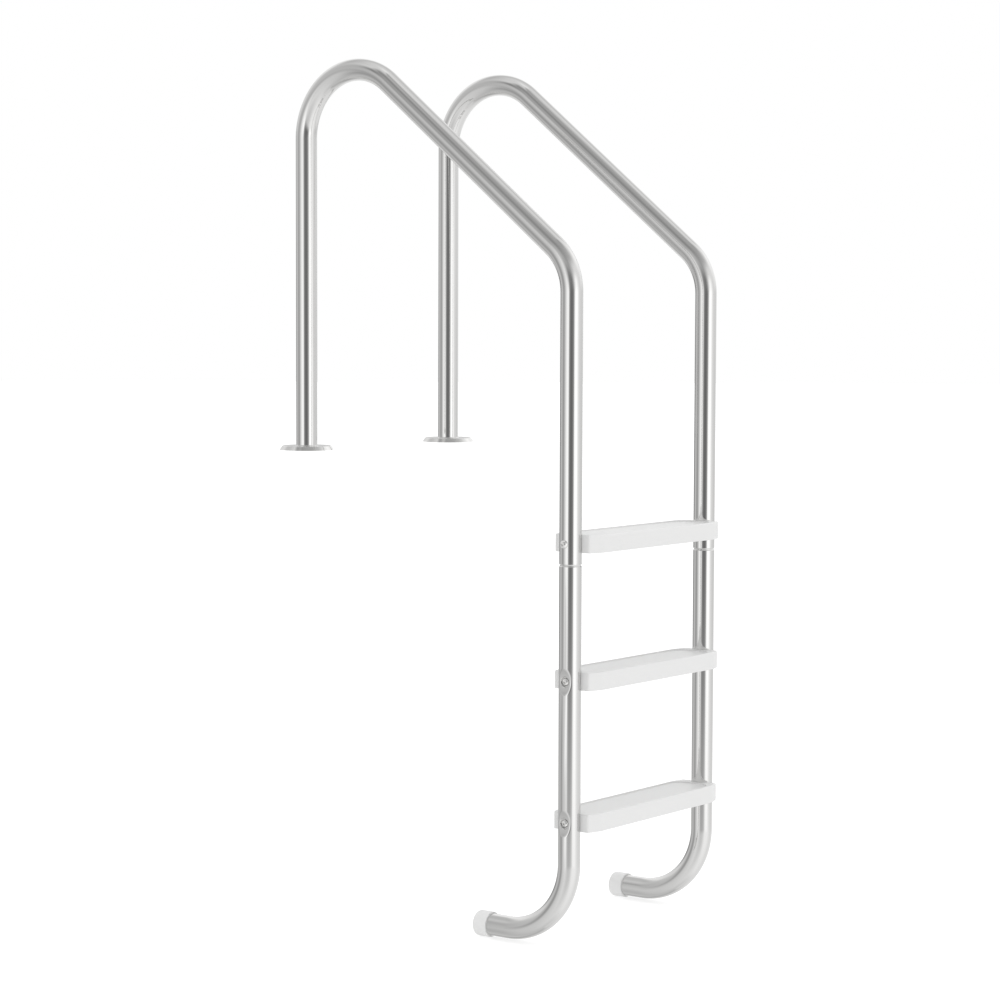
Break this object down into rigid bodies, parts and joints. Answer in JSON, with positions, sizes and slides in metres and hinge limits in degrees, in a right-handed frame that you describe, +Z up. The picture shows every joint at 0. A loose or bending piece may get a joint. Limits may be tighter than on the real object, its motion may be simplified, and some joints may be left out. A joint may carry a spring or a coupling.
{
  "type": "pool ladder",
  "caption": "Deck-mounted pool ladder: bent tube handrails with white moulded treads, deck flanges under sliding covers and bumper end caps.",
  "frame": {"origin": "on the deck surface, midway between the two deck flanges, at the centre of the outer rectangle of anchor holes", "axes": "+X across the ladder from left to right as seen by a climber facing the deck, +Y away from the pool, +Z up"},
  "size_m": [0.5656, 0.7515, 1.6918],
  "materials": {
    "rail_steel": "satin polished",
    "fitting_steel": "mill finish",
    "cover_steel": "polished",
    "fastener_steel": "polished",
    "tread_plastic": "fine moulded grain",
    "cap_plastic": "smooth moulded"
  },
  "bodies": {
    "ladder": {"upper_rail_left": "rail_steel", "upper_rail_right": "rail_steel", "lower_rail_left": "rail_steel", "lower_rail_right": "rail_steel", "joint_sleeve_left": "fitting_steel", "joint_sleeve_right": "fitting_steel", "deck_flange_left": "fitting_steel", "deck_flange_right": "fitting_steel", "end_cap_left": "cap_plastic", "end_cap_right": "cap_plastic", "tread_upper": "tread_plastic", "tread_middle": "tread_plastic", "tread_lower": "tread_plastic", "tread_bolt_upper_left": "fastener_steel", "washer_upper_left": "fastener_steel", "lock_nut_upper_left": "fastener_steel", "tread_bolt_upper_right": "fastener_steel", "washer_upper_right": "fastener_steel", "lock_nut_upper_right": "fastener_steel", "tread_bolt_middle_left": "fastener_steel", "washer_middle_left": "fastener_steel", "lock_nut_middle_left": "fastener_steel", "tread_bolt_middle_right": "fastener_steel", "washer_middle_right": "fastener_steel", "lock_nut_middle_right": "fastener_steel", "tread_bolt_lower_left": "fastener_steel", "washer_lower_left": "fastener_steel", "lock_nut_lower_left": "fastener_steel", "tread_bolt_lower_right": "fastener_steel", "washer_lower_right": "fastener_steel", "lock_nut_lower_right": "fastener_steel", "saddle_washer_left": "fastener_steel", "saddle_washer_right": "fastener_steel"},
    "cover_left": {"flange_cover_left": "cover_steel"},
    "cover_right": {"flange_cover_right": "cover_steel"}
  },
  "joints": [
    {"name": "cover_slide_left", "type": "slide", "parent": "ladder", "child": "cover_left", "axis": [0, 0, 1], "range_m": [0, 0.6]},
    {"name": "cover_slide_right", "type": "slide", "parent": "ladder", "child": "cover_right", "axis": [0, 0, 1], "range_m": [0, 0.6]}
  ]
}
